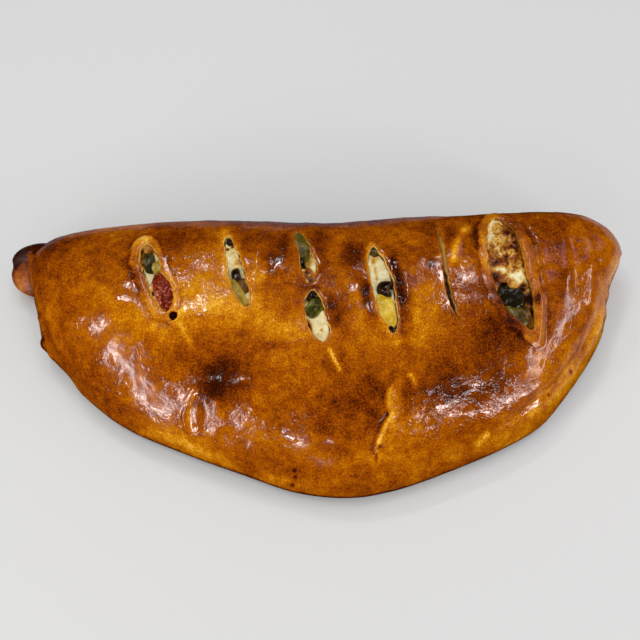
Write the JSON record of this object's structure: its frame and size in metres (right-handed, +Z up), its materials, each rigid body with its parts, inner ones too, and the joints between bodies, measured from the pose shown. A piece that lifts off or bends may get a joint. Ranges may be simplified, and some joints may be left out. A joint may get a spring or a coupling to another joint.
{
  "type": "calzone",
  "caption": "Half-moon calzone of glazed, baked dough, slashed across the top so that its filling of cheese, peppers, olives and sausage shows.",
  "frame": {"origin": "middle of the calzone's footprint box, on the surface that it rests on", "axes": "+X along the fold, from the end with the flat tab of dough to the end with the small nub; +Y from the rounded front seam towards the fold; +Z up"},
  "size_m": [0.3334, 0.1447, 0.0553],
  "materials": {
    "crust": "baked bread dough under a brushed egg and butter glaze, golden brown with darker patches",
    "cheese": "melted mozzarella, oily, browned where it met the oven's heat",
    "dark_pepper": "cooked green pepper, dark olive green, wet",
    "green_pepper": "cooked green pepper, wet",
    "pale_pepper": "cooked pale green pepper, wet",
    "yellow_pepper": "cooked yellow green pepper, wet",
    "brown_pepper": "browned cooked pepper, wet",
    "sausage": "cured red sausage, oily and pitted",
    "olive": "sliced ripe black olive, glossy"
  },
  "bodies": {
    "root": {"crust": "crust", "cheese_filling": "cheese", "slit_1_pepper_dark": "dark_pepper", "slit_1_pepper_pale": "pale_pepper", "slit_1_sausage": "sausage", "slit_2_olive_upper": "olive", "slit_2_olive_lower": "olive", "slit_2_pepper_pale": "pale_pepper", "slit_2_pepper_brown": "brown_pepper", "slit_3_pepper_upper": "dark_pepper", "slit_3_olive_upper": "olive", "slit_3_olive_lower": "olive", "slit_3_pepper_lower": "green_pepper", "slit_4_pepper_tip": "dark_pepper", "slit_4_olive_middle": "olive", "slit_4_pepper_strip": "yellow_pepper", "slit_4_olive_lower": "olive", "slit_6_pepper_upper": "dark_pepper", "slit_6_pepper_lower": "dark_pepper", "slit_6_pepper_strip": "brown_pepper"}
  },
  "joints": []
}
